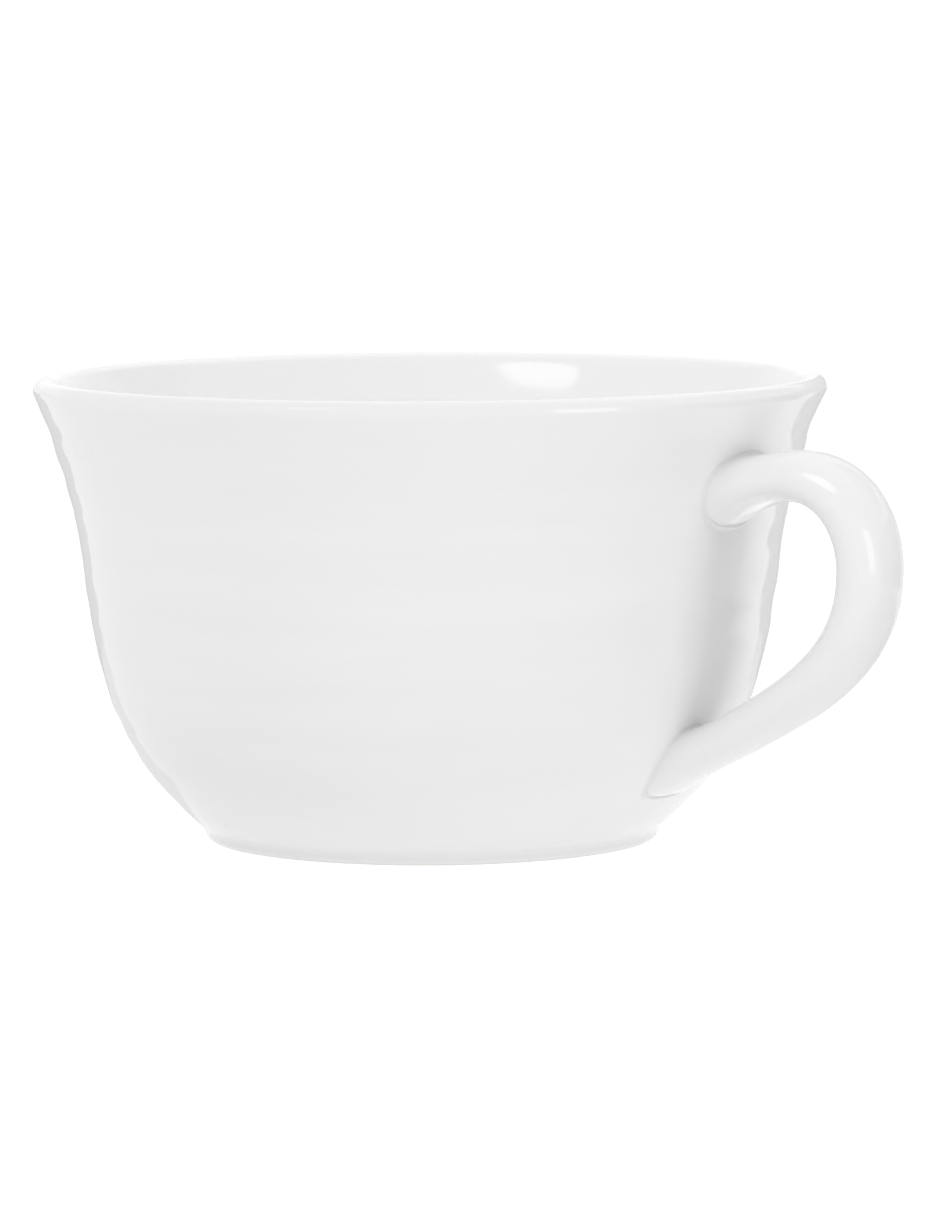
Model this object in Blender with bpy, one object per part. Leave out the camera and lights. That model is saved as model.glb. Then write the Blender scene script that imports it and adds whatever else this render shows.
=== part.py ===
"""Glazed white tea cup: a thrown bowl with a flared lip and a low foot ring, and a pulled handle that is
luted to the wall with slip at its two roots.

Metres, +Z up. The cup stands on z = 0 and its handle points along +X. The origin is on the table, under
the middle of the whole cup, so the bowl's own axis lies a little behind it.
"""

import math

import bmesh
import bpy
from mathutils import Vector

MM = 0.001

# Bowl, outside
RIM_DIAMETER = 102.0 * MM
CUP_HEIGHT = 59.6 * MM
LIP_THICKNESS = 3.0 * MM
RIM_LEAN = math.radians(23.0)       # outward lean of the wall just under the lip
FLARE_HEIGHT = 20.6 * MM            # from the waist up to the crest of the lip
WAIST_DIAMETER = 90.7 * MM
WAIST_LEAN = math.radians(8.4)
BELLY_HEIGHT = 22.0 * MM
BELLY_DIAMETER = 85.0 * MM
BELLY_LEAN = math.radians(15.0)
HEEL_OVERHANG = 0.2 * MM            # bottom edge of the wall beyond the foot
HEEL_LEAN = math.radians(53.5)

# Bowl, inside
WALL_THICKNESS = 3.4 * MM
FLOOR_THICKNESS = 3.8 * MM
WELL_DIAMETER = 34.0 * MM           # flat middle of the floor
WELL_SIDE_PULL = 10.0 * MM          # how far the wall runs on before it turns into the floor
WELL_FLOOR_PULL = 18.0 * MM         # how far the floor runs on before it turns into the wall

# Throwing rings: a short ripple on a longer swell, dying out near the lip and the heel
RING_PITCH = 5.2 * MM
RING_DEPTH = 0.06 * MM
SWELL_PITCH = 9.1 * MM
SWELL_DEPTH = 0.07 * MM
RING_FADE = 5.0 * MM

# Foot ring
FOOT_DIAMETER = 58.5 * MM
FOOT_HEIGHT = 1.3 * MM              # from the table to the heel of the wall
FOOT_EDGE = 0.45 * MM               # bevel on the edges of the standing face
STAND_WIDTH = 2.6 * MM              # flat standing face
RECESS_DEPTH = 2.6 * MM             # height of the underside above the table
RECESS_DRAFT = 1.5 * MM             # how far the ring's inner side leans in
RECESS_FILLET = 1.2 * MM

# Handle
UPPER_ROOT_DROP = 14.5 * MM         # root centre below the crest of the lip
UPPER_LIFT = math.radians(31.5)     # climb of the strap as it leaves the wall
UPPER_PULL = 15.0 * MM
BEND_DROP = 7.6 * MM                # outermost point below the upper root
BEND_PULL_ABOVE = 10.3 * MM
BEND_PULL_BELOW = 12.9 * MM
FINGER_GAP = 18.0 * MM              # from the wall to the inside of the bend
LOWER_ROOT_HEIGHT = 10.0 * MM
LOWER_CLIMB = math.radians(26.0)    # climb of the strap away from the lower root
LOWER_PULL = 19.5 * MM
ROOT_SINK = 2.2 * MM                # the strap's centre line ends this far under the wall's face
UPPER_THICKNESS = 6.8 * MM
UPPER_WIDTH = 12.0 * MM
BEND_THICKNESS = 7.2 * MM
BEND_WIDTH = 11.0 * MM
LOWER_THICKNESS = 6.0 * MM
LOWER_WIDTH = 9.0 * MM
UPPER_FLARE = 1.3 * MM              # how much the strap swells all round at its upper root
LOWER_FLARE = 0.5 * MM
FLARE_LENGTH = 5.5 * MM             # length of strap over which a root swells

# Slip that joins the roots to the wall
SLIP_THICKNESS = 0.9 * MM
SLIP_SPREAD = 0.6 * MM              # bead squeezed out round the root
SEAT_GAP = 0.3 * MM                 # clearance between seated faces

# Smoothness of the meshes
TURN_STEPS = 64
WALL_STEPS = 40
INNER_STEPS = 12
WELL_STEPS = 9
LIP_STEPS = 8
STRAP_SIDES = 24
STRAP_STEPS = 18                    # on each half of the handle
SHARP_ANGLE = math.radians(40.0)

GLAZE_WHITE = (0.83, 0.83, 0.83, 1.0)
SLIP_WHITE = (0.80, 0.80, 0.79, 1.0)

RIM_RADIUS = RIM_DIAMETER / 2
LIP_RADIUS = LIP_THICKNESS / 2
LIP_CENTRE = (RIM_RADIUS - LIP_RADIUS, CUP_HEIGHT - LIP_RADIUS)
FLOOR_HEIGHT = RECESS_DEPTH + FLOOR_THICKNESS

# Stations of the outer wall, from the heel up: height, radius and outward slope
HEEL = (FOOT_HEIGHT, FOOT_DIAMETER / 2 + HEEL_OVERHANG, math.tan(HEEL_LEAN))
BELLY = (BELLY_HEIGHT, BELLY_DIAMETER / 2, math.tan(BELLY_LEAN))
WAIST = (CUP_HEIGHT - FLARE_HEIGHT, WAIST_DIAMETER / 2, math.tan(WAIST_LEAN))
LIP_JOIN = (
    LIP_CENTRE[1] - LIP_RADIUS * math.sin(RIM_LEAN),
    LIP_CENTRE[0] + LIP_RADIUS * math.cos(RIM_LEAN),
    math.tan(RIM_LEAN),
)
STATIONS = (HEEL, BELLY, WAIST, LIP_JOIN)


def clear_scene():
    for item in list(bpy.data.objects):
        bpy.data.objects.remove(item, do_unlink=True)


def finish(name, colour, roughness):
    """A plain opaque material."""
    material = bpy.data.materials.new(name)
    material.use_nodes = True
    shader = material.node_tree.nodes["Principled BSDF"]
    shader.inputs["Base Color"].default_value = colour
    shader.inputs["Roughness"].default_value = roughness
    shader.inputs["Metallic"].default_value = 0.0
    return material


def ease(value):
    """0 to 1 with soft ends."""
    clipped = min(max(value, 0.0), 1.0)
    return clipped * clipped * (3.0 - 2.0 * clipped)


def smooth_wall(height):
    """Radius and slope of the outer wall without its rings, a cubic between neighbouring stations."""
    index = sum(height > station[0] for station in STATIONS[1:-1])
    low, high = STATIONS[index], STATIONS[index + 1]
    span = high[0] - low[0]
    t = (height - low[0]) / span
    radius = (
        low[1] * (2 * t**3 - 3 * t**2 + 1)
        + low[2] * span * (t**3 - 2 * t**2 + t)
        + high[1] * (3 * t**2 - 2 * t**3)
        + high[2] * span * (t**3 - t**2)
    )
    slope = (
        (high[1] - low[1]) * (6 * t - 6 * t**2) / span
        + low[2] * (3 * t**2 - 4 * t + 1)
        + high[2] * (3 * t**2 - 2 * t)
    )
    return radius, slope


def throwing_rings(height):
    """How far the rings push the wall out at a height, and the slope that they add."""
    above_heel = height - HEEL[0]
    fade = ease(above_heel / RING_FADE) * ease((LIP_JOIN[0] - height) / RING_FADE)
    push, slope = 0.0, 0.0
    for pitch, depth in ((RING_PITCH, RING_DEPTH), (SWELL_PITCH, SWELL_DEPTH)):
        turn = 2.0 * math.pi / pitch
        push += fade * depth * math.sin(turn * above_heel)
        slope += fade * depth * turn * math.cos(turn * above_heel)
    return push, slope


def wall_line(offset):
    """Points of the ringed outer wall from the lip down to the heel, moved outwards by an offset."""
    points = []
    for step in range(WALL_STEPS + 1):
        height = LIP_JOIN[0] + (HEEL[0] - LIP_JOIN[0]) * step / WALL_STEPS
        radius, slope = smooth_wall(height)
        push, ring_slope = throwing_rings(height)
        slope += ring_slope
        length = math.hypot(1.0, slope)
        points.append((radius + push + offset / length, height - offset * slope / length))
    return points


def curve_point(knots, t):
    """Point on a cubic Bezier curve."""
    a, b, c, d = knots
    s = 1.0 - t
    return a * s**3 + b * (3 * s * s * t) + c * (3 * s * t * t) + d * t**3


def curve_heading(knots, t):
    """Unit tangent of a cubic Bezier curve."""
    a, b, c, d = knots
    s = 1.0 - t
    return ((b - a) * (s * s) + (c - b) * (2 * s * t) + (d - c) * (t * t)).normalized()


def inner_wall_line():
    """Points of the smooth inside from the edge of the floor's flat middle up to the lip."""
    wall = []
    for step in range(INNER_STEPS + 1):
        height = BELLY[0] + (LIP_JOIN[0] - BELLY[0]) * step / INNER_STEPS
        radius, slope = smooth_wall(height)
        thinning = ease((height - WAIST[0]) / (LIP_JOIN[0] - WAIST[0]))
        thickness = WALL_THICKNESS + (LIP_THICKNESS - WALL_THICKNESS) * thinning
        length = math.hypot(1.0, slope)
        wall.append((radius - thickness / length, height + thickness * slope / length))
    top_of_well = Vector(wall[0])
    knots = (
        Vector((WELL_DIAMETER / 2, FLOOR_HEIGHT)),
        Vector((WELL_DIAMETER / 2 + WELL_FLOOR_PULL, FLOOR_HEIGHT)),
        top_of_well - Vector((BELLY[2], 1.0)).normalized() * WELL_SIDE_PULL,
        top_of_well,
    )
    well = [curve_point(knots, step / WELL_STEPS) for step in range(WELL_STEPS)]
    return [tuple(point) for point in well] + wall


def lip_line():
    """Round nose of the lip, from the inside over the crest, without its two ends."""
    points = []
    for step in range(1, LIP_STEPS):
        angle = math.pi * (1.0 - step / LIP_STEPS) - RIM_LEAN
        points.append((
            LIP_CENTRE[0] + LIP_RADIUS * math.cos(angle),
            LIP_CENTRE[1] + LIP_RADIUS * math.sin(angle),
        ))
    return points


def foot_line():
    """Foot ring from the outside, over its standing face and into the recess, to the axis."""
    outer = FOOT_DIAMETER / 2
    stand_outer = outer - FOOT_EDGE
    stand_inner = stand_outer - STAND_WIDTH
    inner = stand_inner - FOOT_EDGE
    corner = inner - RECESS_DRAFT
    return [
        (outer, FOOT_HEIGHT - HEEL_OVERHANG),
        (outer, FOOT_EDGE),
        (stand_outer, 0.0),
        (stand_inner, 0.0),
        (inner, FOOT_EDGE),
        (corner, RECESS_DEPTH - RECESS_FILLET / 2),
        (corner - RECESS_FILLET, RECESS_DEPTH),
        (0.0, RECESS_DEPTH),
    ]


def turned(name, profile, parent):
    """Object made by turning a profile of (radius, height) points about Z."""
    mesh = bpy.data.meshes.new(name)
    vertices = [(radius, 0.0, height) for radius, height in profile]
    edges = [(k, k + 1) for k in range(len(vertices) - 1)]
    if profile[0][0] > 0.0:
        edges.append((len(vertices) - 1, 0))
    mesh.from_pydata(vertices, edges, [])
    item = bpy.data.objects.new(name, mesh)
    bpy.context.scene.collection.objects.link(item)
    item.parent = parent
    turning = item.modifiers.new("turn", "SCREW")
    turning.axis = "Z"
    turning.angle = 2.0 * math.pi
    turning.steps = TURN_STEPS
    turning.render_steps = TURN_STEPS
    turning.use_merge_vertices = True
    turning.merge_threshold = 0.01 * MM
    turning.use_smooth_shade = True
    return item


def lofted(name, rings, parent):
    """Closed object skinned over rings of points, with flat ends."""
    shape = bmesh.new()
    loops = [[shape.verts.new(point) for point in ring] for ring in rings]
    for near, far in zip(loops, loops[1:]):
        for k in range(len(near)):
            after = (k + 1) % len(near)
            shape.faces.new((near[k], near[after], far[after], far[k]))
    shape.faces.new(loops[0])
    shape.faces.new(loops[-1])
    bmesh.ops.recalc_face_normals(shape, faces=shape.faces)
    mesh = bpy.data.meshes.new(name)
    shape.to_mesh(mesh)
    shape.free()
    mesh.shade_smooth()
    mesh.set_sharp_from_angle(angle=SHARP_ANGLE)
    item = bpy.data.objects.new(name, mesh)
    bpy.context.scene.collection.objects.link(item)
    item.parent = parent
    return item


def wall_plug(name, offset, parent):
    """Solid plug whose side lies outside the wall by an offset."""
    side = wall_line(offset)
    return turned(name, [(0.0, side[0][1])] + side + [(0.0, side[-1][1])], parent)


def wall_shell(name, offset, thickness, parent):
    """Shell that follows the outside of the wall, from an offset outwards."""
    outer_face = wall_line(offset + thickness)
    inner_face = wall_line(offset)
    return turned(name, outer_face + inner_face[::-1], parent)


def cut(item, tool, operation):
    """Shape an item with a tool that isn't itself part of the cup."""
    tool.hide_render = True
    tool.display_type = "WIRE"
    boolean = item.modifiers.new(tool.name, "BOOLEAN")
    boolean.object = tool
    boolean.operation = operation
    boolean.solver = "EXACT"


def strap_knots():
    """Two cubic curves, in the handle's own plane (distance from the axis, height), that meet at the
    outermost point of the bend."""
    upper_height = CUP_HEIGHT - UPPER_ROOT_DROP
    upper = Vector((smooth_wall(upper_height)[0] - ROOT_SINK, upper_height))
    bend_height = upper_height - BEND_DROP
    bend = Vector((smooth_wall(bend_height)[0] + FINGER_GAP + BEND_THICKNESS / 2, bend_height))
    lower = Vector((smooth_wall(LOWER_ROOT_HEIGHT)[0] - ROOT_SINK, LOWER_ROOT_HEIGHT))
    leave = Vector((math.cos(UPPER_LIFT), math.sin(UPPER_LIFT)))
    arrive = Vector((math.cos(LOWER_CLIMB), math.sin(LOWER_CLIMB)))
    above = (upper, upper + leave * UPPER_PULL, bend + Vector((0.0, BEND_PULL_ABOVE)), bend)
    below = (bend, bend - Vector((0.0, BEND_PULL_BELOW)), lower + arrive * LOWER_PULL, lower)
    return above, below


def strap_reach():
    """Distance from the bowl's axis to the outside of the bend."""
    return strap_knots()[0][3].x + BEND_THICKNESS / 2


def strap_half(knots, start_size, end_size):
    """Stations along one of the two curves: centre, heading, thickness and width."""
    stations = []
    for step in range(STRAP_STEPS + 1):
        t = step / STRAP_STEPS
        thickness, width = (a + (b - a) * ease(t) for a, b in zip(start_size, end_size))
        stations.append((curve_point(knots, t), curve_heading(knots, t), thickness, width))
    return stations


def strap_ring(centre, heading, thickness, width):
    """Oval section of the strap, square to its heading."""
    normal = Vector((-heading.y, heading.x))
    ring = []
    for k in range(STRAP_SIDES):
        angle = 2.0 * math.pi * (k + 0.5) / STRAP_SIDES
        place = centre + normal * (0.5 * thickness * math.cos(angle))
        ring.append(Vector((place.x, 0.5 * width * math.sin(angle), place.y)))
    return ring


def swollen_rings(stations, flare, spread):
    """Rings of stations that start at a root. The strap swells towards the root, and its first ring is
    repeated further in, under the wall, so that a cut along the wall goes right through."""
    root = stations[0][0]
    rings = []
    for centre, heading, thickness, width in stations:
        near = max(0.0, 1.0 - (centre - root).length / FLARE_LENGTH)
        swell = 2.0 * (flare * near * near + spread)
        rings.append(strap_ring(centre, heading, thickness + swell, width + swell))
    run_in = Vector((-(root.x / 2), 0.0, 0.0))
    return [[point + run_in for point in rings[0]]] + rings


def strap_halves():
    """Stations of the upper and lower half of the handle, each starting at its own root."""
    above, below = strap_knots()
    upper_size = (UPPER_THICKNESS, UPPER_WIDTH)
    bend_size = (BEND_THICKNESS, BEND_WIDTH)
    lower_size = (LOWER_THICKNESS, LOWER_WIDTH)
    upper_half = strap_half(above, upper_size, bend_size)
    lower_half = strap_half(below, bend_size, lower_size)[::-1]
    return upper_half, lower_half


def make_bowl(parent):
    profile = [(0.0, FLOOR_HEIGHT)] + inner_wall_line() + lip_line() + wall_line(0.0) + foot_line()
    bowl = turned("cup_body", profile, parent)
    bowl.data.materials.append(finish("bowl_glaze", GLAZE_WHITE, 0.10))


def make_handle(parent):
    upper_half, lower_half = strap_halves()
    upper_rings = swollen_rings(upper_half, UPPER_FLARE, 0.0)
    lower_rings = swollen_rings(lower_half, LOWER_FLARE, 0.0)
    handle = lofted("handle", upper_rings + lower_rings[-2::-1], parent)
    handle.data.materials.append(finish("handle_glaze", GLAZE_WHITE, 0.10))
    seat = wall_plug("handle_seat_cutter", SLIP_THICKNESS + 2.0 * SEAT_GAP, parent)
    cut(handle, seat, "DIFFERENCE")


def make_slip_joints(parent):
    """The thin saddles of slip between each root and the wall."""
    layer = wall_shell("slip_layer", SEAT_GAP, SLIP_THICKNESS, parent)
    white = finish("slip_glaze", SLIP_WHITE, 0.14)
    upper_half, lower_half = strap_halves()
    for name, half, flare in (
        ("upper_slip_joint", upper_half, UPPER_FLARE),
        ("lower_slip_joint", lower_half, LOWER_FLARE),
    ):
        saddle = lofted(name, swollen_rings(half, flare, SLIP_SPREAD), parent)
        saddle.data.materials.append(white)
        cut(saddle, layer, "INTERSECT")


def main():
    clear_scene()
    axis = bpy.data.objects.new("cup_axis", None)
    bpy.context.scene.collection.objects.link(axis)
    axis.location.x = (RIM_RADIUS - strap_reach()) / 2
    make_bowl(axis)
    make_handle(axis)
    make_slip_joints(axis)


main()
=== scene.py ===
"""Looks of a white glazed tea cup: a thrown bowl with soft rings, a pulled handle, and the slip
fillets that lute its two roots to the wall, in a plain bright studio."""

import math

import bmesh
import bpy
from mathutils import Matrix, Quaternion, Vector


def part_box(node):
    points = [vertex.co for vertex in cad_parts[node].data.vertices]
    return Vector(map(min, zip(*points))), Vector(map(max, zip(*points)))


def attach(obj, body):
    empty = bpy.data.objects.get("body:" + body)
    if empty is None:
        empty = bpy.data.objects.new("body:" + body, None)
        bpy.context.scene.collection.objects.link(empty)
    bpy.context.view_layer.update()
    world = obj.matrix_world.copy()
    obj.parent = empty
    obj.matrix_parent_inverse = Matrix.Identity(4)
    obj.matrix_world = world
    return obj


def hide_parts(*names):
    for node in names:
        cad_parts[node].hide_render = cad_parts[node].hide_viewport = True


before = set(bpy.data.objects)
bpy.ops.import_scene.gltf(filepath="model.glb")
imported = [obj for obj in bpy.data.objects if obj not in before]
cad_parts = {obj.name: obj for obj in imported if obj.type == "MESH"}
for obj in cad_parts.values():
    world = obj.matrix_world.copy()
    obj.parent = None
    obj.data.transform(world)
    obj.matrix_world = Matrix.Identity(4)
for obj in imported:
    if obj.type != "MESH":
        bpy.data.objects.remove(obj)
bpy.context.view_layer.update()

MM = 0.001

# The bowl's axis stands behind the origin, because the handle counts in the cup's box
bowl_low, bowl_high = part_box("cup_body")
AXIS = Vector(((bowl_low.x + bowl_high.x) / 2, 0.0, 0.0))

# Outside of the bowl: height, radius and lean from upright, from the heel up to the lip
RIM_RADIUS = 51.0 * MM
CUP_HEIGHT = 59.6 * MM
LIP_RADIUS = 1.5 * MM
RIM_LEAN = math.radians(23.0)
LIP_CENTRE = Vector((RIM_RADIUS - LIP_RADIUS, CUP_HEIGHT - LIP_RADIUS))
HEEL = (1.9 * MM, 29.95 * MM, math.radians(50.0))
BELLY = (22.0 * MM, 42.5 * MM, math.radians(15.0))
WAIST = (39.0 * MM, 45.35 * MM, math.radians(8.4))
UNDER_LIP = (
    LIP_CENTRE.y - LIP_RADIUS * math.sin(RIM_LEAN),
    LIP_CENTRE.x + LIP_RADIUS * math.cos(RIM_LEAN),
    RIM_LEAN,
)
WALL_STATIONS = (HEEL, BELLY, WAIST, UNDER_LIP)

# Throwing rings in millimetres: heights of crests and hollows, and how far each stands out or in
RING_MARKS = (
    (1.9, 0.0), (3.2, 0.04), (5.0, -0.04), (7.4, -0.02), (10.0, 0.03), (11.9, -0.02), (13.7, 0.03),
    (15.5, -0.03), (17.6, 0.05), (21.7, -0.04), (27.7, 0.04), (30.2, -0.03), (32.8, 0.04),
    (36.7, -0.04), (41.6, 0.03), (42.9, -0.02), (45.8, 0.04), (47.8, -0.03), (50.2, 0.04),
    (52.5, -0.03), (57.5, 0.0),
)

# Uneven marks of the thrower's hands: their span along each axis, their depth, and where the
# pattern starts. They fade in above the heel, out below the lip, and round the handle's roots.
HAND_MARKS = ((30.0 * MM, 30.0 * MM, 5.0 * MM), 0.30 * MM, (4.0 * MM, 9.0 * MM, 2.0 * MM))
FINGER_MARKS = ((11.0 * MM, 11.0 * MM, 2.2 * MM), 0.10 * MM, (7.0 * MM, 3.0 * MM, 5.0 * MM))
MARKS_FADE_IN = 4.0 * MM
MARKS_FADE_OUT = 5.0 * MM
WIPED_RADIUS = 10.0 * MM
WIPED_FADE = 7.0 * MM

# Inside of the bowl
WALL_THICKNESS = 3.4 * MM
FLOOR_HEIGHT = 6.4 * MM
FLAT_RADIUS = 17.0 * MM
SIDE_PULL = 10.0 * MM
FLOOR_PULL = 18.0 * MM

# How deep under the outer face a point still takes the hand marks or the dent, and how deep it is
# wholly inside
MARKED_DEPTH = 0.5 * WALL_THICKNESS
DENTED_DEPTH = 0.3 * WALL_THICKNESS
INSIDE_DEPTH = 0.8 * WALL_THICKNESS

# Dent under the lip: turn round the axis, height, half its own height, and depth. Along the lip it
# starts at the first cosine of the angle from its middle, and is full where that has grown by the
# second value.
LIP_DENT = (math.radians(36.0), 53.8 * MM, 4.2 * MM, 0.27 * MM)
LIP_DENT_SIDES = (0.72, 0.25)

# Foot ring in millimetres: radius and height of the hollow above its outer face, then of its
# corners with their roundness
FOOT_HOLLOW = ((29.72, 1.66), (29.53, 1.39), (29.38, 1.09), (29.28, 0.80))
FOOT_CORNERS = (
    (29.22, 0.45, 0.12), (28.80, 0.0, 0.20), (26.20, 0.0, 0.16), (25.75, 0.45, 0.16),
    (24.25, 2.00, 0.35), (23.05, 2.60, 0.50),
)
RECESS_HEIGHT = 2.6 * MM

# Radii of the section's points on the flat floor and on the flat underside, in millimetres
FLOOR_POINTS = (0.0, 4.0, 8.0, 12.0)
UNDERSIDE_POINTS = (18.0, 12.0, 6.0, 0.0)

# Handle: points and pulls of its centre line, how deep that starts under the wall's face, how far
# the strap runs on into the bowl before it is cut, how deep it is cut, and its thickness and width
UPPER_ROOT_HEIGHT = 44.64 * MM
UPPER_LIFT = math.radians(33.8)
UPPER_PULL = 17.0 * MM
BEND_HEIGHT = 37.7 * MM
BEND_PULL_ABOVE = 8.7 * MM
BEND_PULL_BELOW = 14.2 * MM
FINGER_GAP = 17.7 * MM
LOWER_ROOT_HEIGHT = 9.85 * MM
LOWER_CLIMB = math.radians(29.2)
LOWER_PULL = 18.6 * MM
ROOT_SINK = 2.2 * MM
ROOT_RUN = 12.0 * MM
SEAT_DEPTH = 0.6 * MM
UPPER_SIZE = (6.17 * MM, 13.2 * MM)
BEND_SIZE = (7.4 * MM, 10.4 * MM)
LOWER_SIZE = (5.63 * MM, 8.2 * MM)

# How a root swells: more thickness, more width, over what length, how much more of it is on the
# outside of the loop, and how much fuller its corners get
UPPER_FLARE = (4.2 * MM, 1.04 * MM, 7.7 * MM, 0.87, 0.2)
LOWER_FLARE = (3.8 * MM, 2.7 * MM, 9.1 * MM, -0.95, 1.3)

# Slip fillets: how far they climb the strap and spread on the wall, how deep their thin edges lie
# in both, how thick they are below, how far their hidden corner lies inside the strap, and the
# radius of the ring they are bent from
FILLET_CLIMB = 0.7 * MM
FILLET_SPREAD = 0.6 * MM
FILLET_EDGE = 0.05 * MM
FILLET_DEPTH = 0.5 * MM
FILLET_CORNER = 0.4 * MM
FILLET_BLANK = 6.0 * MM

# Fineness of the meshes
TURNS = 288
INSIDE_STEPS = 36
WELL_STEPS = 24
LIP_STEPS = 20
WALL_STEPS = 120
CORNER_STEPS = 4
SEAT_STEPS = 90
SEAT_TURNS = 192
STRAP_SIDES = 32
STRAP_RINGS = 24
ROOT_RINGS = 60
FILLET_TURNS = 128
FILLET_STEPS = 10
STRAP_SMOOTHING = 2

# Steps that slopes are measured over, how near fillets come to the wall's ends, how near points are
# welded, and the angle below which edges are smooth
SLOPE_STEP = 0.2 * MM
INSIDE_SLOPE_STEP = 0.1 * MM
WALL_END = 0.3 * MM
WELD = 0.002 * MM
SMOOTH_ANGLE = math.radians(50.0)

# Glaze: tones where it lies thin and thick, the tone inside the bowl, which is lighter as painted
# light there, and the gloss
WALL_TONES = ((0.875, 0.875, 0.875), (0.84, 0.842, 0.842))
# The slip's tones are darker than the wall's: painted shade in the creases where the handle's roots
# meet the wall
SLIP_SHADED_TONES = ((0.82, 0.821, 0.821), (0.79, 0.792, 0.79))
# The inside tone is lighter than the wall's: painted light inside the bowl
INSIDE_LIGHTENED_TONE = (0.945, 0.945, 0.943)
CLAY_TONES = ((0.70, 0.66, 0.60, 1.0), (0.84, 0.81, 0.76, 1.0))
GLAZE_ROUGHNESS = 0.06
CLAY_ROUGHNESS = 0.75
GLAZE_IOR = 1.52

# Patterns of the glaze: scale and detail of each noise, how the streaks are stretched, the heights
# between which the clay is bare and glazed, and how the haze spreads the gloss
STREAK_NOISE = (38.0, 3.0)
STREAK_STRETCH = (1.0, 1.0, 5.0)
GRIT_NOISE = (900.0, 2.0)
BARE_HEIGHTS = (0.10 * MM, 0.22 * MM)
HAZE_NOISE = (160.0, 4.0)
HAZE_RANGE = (0.3, 0.7)
HAZE_SPREAD = (0.8, 1.25)
PEEL_NOISE = (280.0, 2.0)
PEEL_STRENGTH = 0.10
PEEL_DEPTH = 0.05 * MM
PIT_SCALE = 150.0
PIT_REACH = 0.035
PIT_DEPTH = -0.35


def ease(value):
    """0 to 1 with soft ends."""
    clipped = min(max(value, 0.0), 1.0)
    return clipped * clipped * (3.0 - 2.0 * clipped)


def smooth_radius(height):
    """Radius of the outer wall without its rings."""
    index = sum(height > station[0] for station in WALL_STATIONS[1:-1])
    low, high = WALL_STATIONS[index], WALL_STATIONS[index + 1]
    span = high[0] - low[0]
    t = (height - low[0]) / span
    return (
        low[1] * (2 * t**3 - 3 * t**2 + 1)
        + math.tan(low[2]) * span * (t**3 - 2 * t**2 + t)
        + high[1] * (3 * t**2 - 2 * t**3)
        + math.tan(high[2]) * span * (t**3 - t**2)
    )


def ring_push(height):
    """How far the throwing rings move the wall out at a height."""
    level = height / MM
    for (low, low_push), (high, high_push) in zip(RING_MARKS, RING_MARKS[1:]):
        if low <= level <= high:
            return (low_push + (high_push - low_push) * ease((level - low) / (high - low))) * MM
    return 0.0


def wall_slope(height, step=SLOPE_STEP):
    """How fast the radius of the outer wall grows with height."""
    return (smooth_radius(height + step) - smooth_radius(height - step)) / (2 * step)


def wall_square(height, step=SLOPE_STEP):
    """Direction square to the wall's section, pointing out, as (radius, height)."""
    return Vector((1.0, -wall_slope(height, step))).normalized()


def wall_point(height, offset=0.0):
    """Point of the outer wall's section as (radius, height), moved out square to the wall."""
    place = Vector((smooth_radius(height) + ring_push(height), height))
    return place + wall_square(height) * offset


def curve_point(knots, t):
    """Point on a cubic curve."""
    a, b, c, d = knots
    s = 1.0 - t
    return a * s**3 + b * (3 * s * s * t) + c * (3 * s * t * t) + d * t**3


def curve_heading(knots, t):
    """Direction along a cubic curve."""
    a, b, c, d = knots
    s = 1.0 - t
    return ((b - a) * (s * s) + (c - b) * (2 * s * t) + (d - c) * (t * t)).normalized()


def bowl_section():
    """Half section of the bowl as (radius, height), from the middle of its floor, up the inside,
    over the lip, down the outside and the foot, to the middle of its underside."""
    inside = []
    for step in range(INSIDE_STEPS + 1):
        height = BELLY[0] + (UNDER_LIP[0] - BELLY[0]) * step / INSIDE_STEPS
        thinning = ease((height - WAIST[0]) / (UNDER_LIP[0] - WAIST[0]))
        thickness = WALL_THICKNESS + (2 * LIP_RADIUS - WALL_THICKNESS) * thinning
        square = wall_square(height, INSIDE_SLOPE_STEP)
        inside.append(Vector((smooth_radius(height), height)) - square * thickness)
    well = (
        Vector((FLAT_RADIUS, FLOOR_HEIGHT)),
        Vector((FLAT_RADIUS + FLOOR_PULL, FLOOR_HEIGHT)),
        inside[0] - Vector((math.sin(BELLY[2]), math.cos(BELLY[2]))) * SIDE_PULL,
        inside[0],
    )
    section = [Vector((radius * MM, FLOOR_HEIGHT)) for radius in FLOOR_POINTS]
    section += [curve_point(well, step / WELL_STEPS) for step in range(WELL_STEPS)] + inside
    for step in range(1, LIP_STEPS):
        angle = math.pi * (1.0 - step / LIP_STEPS) - RIM_LEAN
        section.append(LIP_CENTRE + LIP_RADIUS * Vector((math.cos(angle), math.sin(angle))))
    for step in range(WALL_STEPS + 1):
        section.append(wall_point(UNDER_LIP[0] + (HEEL[0] - UNDER_LIP[0]) * step / WALL_STEPS))
    section += [Vector((radius, height)) * MM for radius, height in FOOT_HOLLOW]
    section += [Vector((radius, height)) * MM for radius, height, _ in FOOT_CORNERS]
    section += [Vector((radius * MM, RECESS_HEIGHT)) for radius in UNDERSIDE_POINTS]
    return section


def clear_selection():
    """Leave nothing selected."""
    bpy.ops.object.select_all(action="DESELECT")


def draw_section(name, section):
    """A chain of edges through a half section, drawn by pulling one vertex from point to point."""
    places = [AXIS + Vector((point.x, 0.0, point.y)) for point in section]
    clear_selection()
    bpy.ops.mesh.primitive_plane_add(size=MM, location=places[0])
    piece = bpy.context.object
    piece.name = name
    bpy.ops.object.transform_apply(location=True, rotation=False, scale=False)
    bpy.ops.object.mode_set(mode="EDIT")
    bpy.ops.mesh.merge(type="CENTER")
    for here, there in zip(places, places[1:]):
        bpy.ops.mesh.extrude_region_move(TRANSFORM_OT_translate={"value": there - here})
    return piece


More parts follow.
